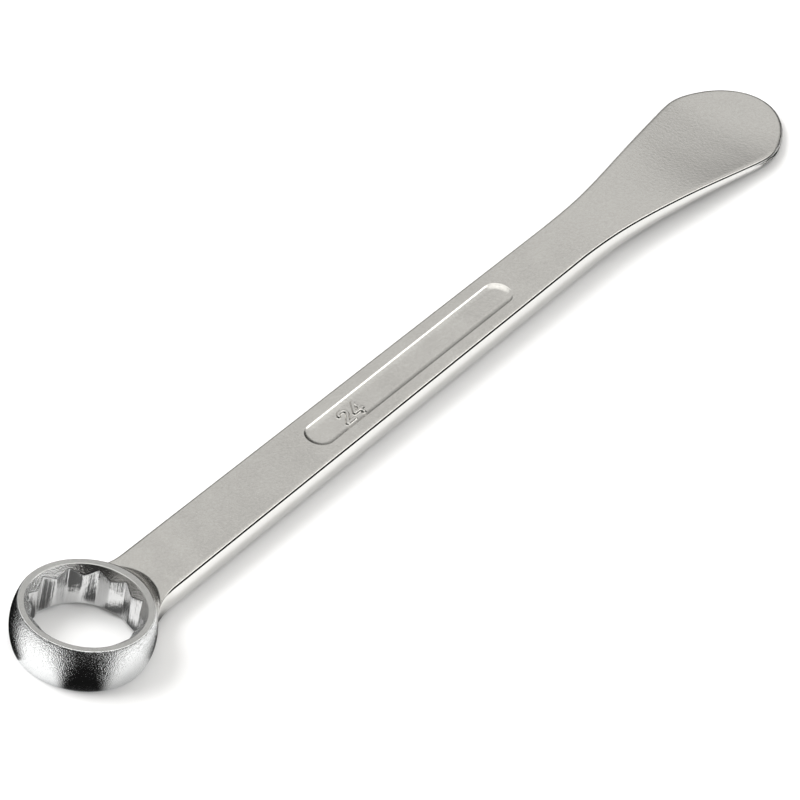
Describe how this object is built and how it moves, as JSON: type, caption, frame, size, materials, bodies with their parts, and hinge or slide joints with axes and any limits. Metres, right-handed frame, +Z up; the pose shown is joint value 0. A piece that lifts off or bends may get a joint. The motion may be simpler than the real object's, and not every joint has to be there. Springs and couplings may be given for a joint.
{
  "type": "tyre lever with ring wrench",
  "caption": "Flat steel tyre lever with a 12-point ring wrench at one end, a recessed panel on the bar and a flared, down-curved spoon end.",
  "frame": {"origin": "where the socket's axis meets the ring's underside, on the surface that the lever lies on", "axes": "+X from the ring to the spoon's tip, along the lever; +Z up, along the socket's axis; +Y across the lever"},
  "size_m": [0.2927, 0.0344, 0.0124],
  "materials": {
    "chrome_ring": "chrome plating over a forged and ground barrel, with a fine grain",
    "satin_chrome": "satin chrome plating over a fine-blasted forging"
  },
  "bodies": {
    "root": {"ring_head": "chrome_ring", "shank": "satin_chrome", "spoon_blade": "satin_chrome"}
  },
  "joints": []
}
